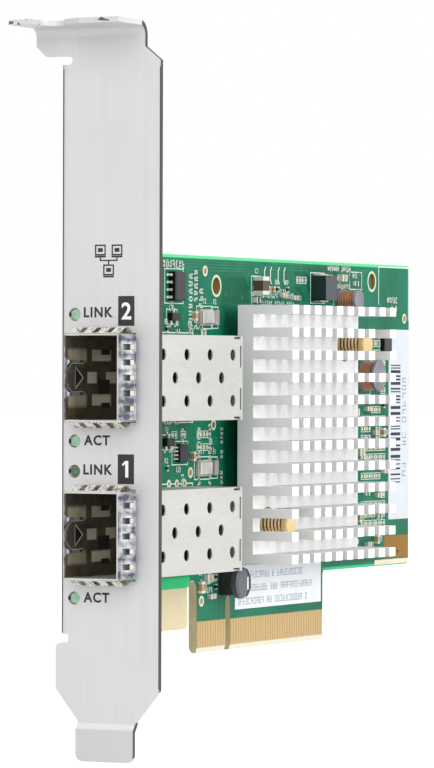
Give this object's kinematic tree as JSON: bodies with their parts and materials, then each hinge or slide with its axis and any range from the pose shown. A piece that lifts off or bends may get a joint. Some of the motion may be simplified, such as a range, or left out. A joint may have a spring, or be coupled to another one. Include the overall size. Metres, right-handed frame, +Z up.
{
  "type": "network interface card",
  "caption": "Add-in network card with a full-height slot bracket, open fibre-module cages with spring collars, a pin-fin heat sink and a gold card edge.",
  "frame": {"origin": "centre of the card edge's key notch, at the lower end of the contacts and in the middle of the board's thickness", "axes": "+X out of the component side, +Y into the computer, away from the bracket, +Z up, away from the socket"},
  "size_m": [0.0228, 0.1421, 0.1209],
  "materials": {
    "bracket_steel": "bright nickel plate over steel, smooth",
    "cage_steel": "tin-plated sheet, satin",
    "collar_steel": "bright spring steel",
    "fastener_steel": "zinc plate",
    "board_green": "green solder mask over glass epoxy, semi-gloss",
    "contact_gold": "gold plate, polished",
    "lead_tin": "tinned, satin",
    "sink_aluminium": "clear anodised, satin",
    "black_epoxy": "moulded epoxy, fine grain",
    "black_moulding": "glass-filled plastic, matte",
    "led_clear": "clear epoxy, glossy",
    "label_paper": "white coated paper, matte",
    "pad_grey": "soft silicone, matte",
    "pin_brass": "bright brass",
    "spring_steel": "oiled spring wire",
    "ferrite": "ferrite, matte",
    "choke_body": "pressed iron powder, matte",
    "winding_copper": "enamelled copper, glossy",
    "chip_ceramic": "fired ceramic, satin",
    "block_ceramic": "fired ceramic, satin",
    "resistor_black": "glazed, satin",
    "crystal_lid": "nickel-plated, satin",
    "crystal_base": "fired ceramic, matte",
    "can_aluminium": "lacquered, satin"
  },
  "bodies": {
    "root": {"bracket": "bracket_steel", "bracket_spacers": "fastener_steel", "bracket_screws": "fastener_steel", "circuit_board": "board_green", "component_side_contacts": "contact_gold", "solder_side_contacts": "contact_gold", "cage_cover_1": "cage_steel", "cage_cover_2": "cage_steel", "cage_base_1": "cage_steel", "cage_base_2": "cage_steel", "emi_collar_1": "collar_steel", "emi_collar_2": "collar_steel", "host_connector_1": "black_moulding", "host_connector_2": "black_moulding", "host_connector_pins_1": "contact_gold", "host_connector_pins_2": "contact_gold", "activity_led_1": "led_clear", "activity_led_2": "led_clear", "link_led_1": "led_clear", "link_led_2": "led_clear", "heat_sink": "sink_aluminium", "thermal_pad": "pad_grey", "controller_chip": "black_epoxy", "push_pin_1": "pin_brass", "push_pin_2": "pin_brass", "push_pin_spring_1": "spring_steel", "push_pin_spring_2": "spring_steel", "memory_chip": "black_epoxy", "memory_chip_leads": "lead_tin", "monitor_chip": "black_epoxy", "monitor_chip_leads": "lead_tin", "transistors": "black_epoxy", "transistor_leads": "lead_tin", "crystal_bases": "crystal_base", "crystal_lids": "crystal_lid", "filter_chips": "black_epoxy", "supply_choke": "choke_body", "supply_choke_terminals": "lead_tin", "drum_choke_cores": "ferrite", "drum_choke_windings": "winding_copper", "reservoir_capacitor_base": "black_moulding", "reservoir_capacitor_can": "can_aluminium", "power_stage_chip": "black_epoxy", "block_capacitor_bodies": "block_ceramic", "block_capacitor_ends": "lead_tin", "ceramic_capacitor_bodies": "chip_ceramic", "ceramic_capacitor_ends": "lead_tin", "chip_resistor_bodies": "resistor_black", "chip_resistor_ends": "lead_tin", "part_label": "label_paper", "serial_label": "label_paper"}
  },
  "joints": []
}
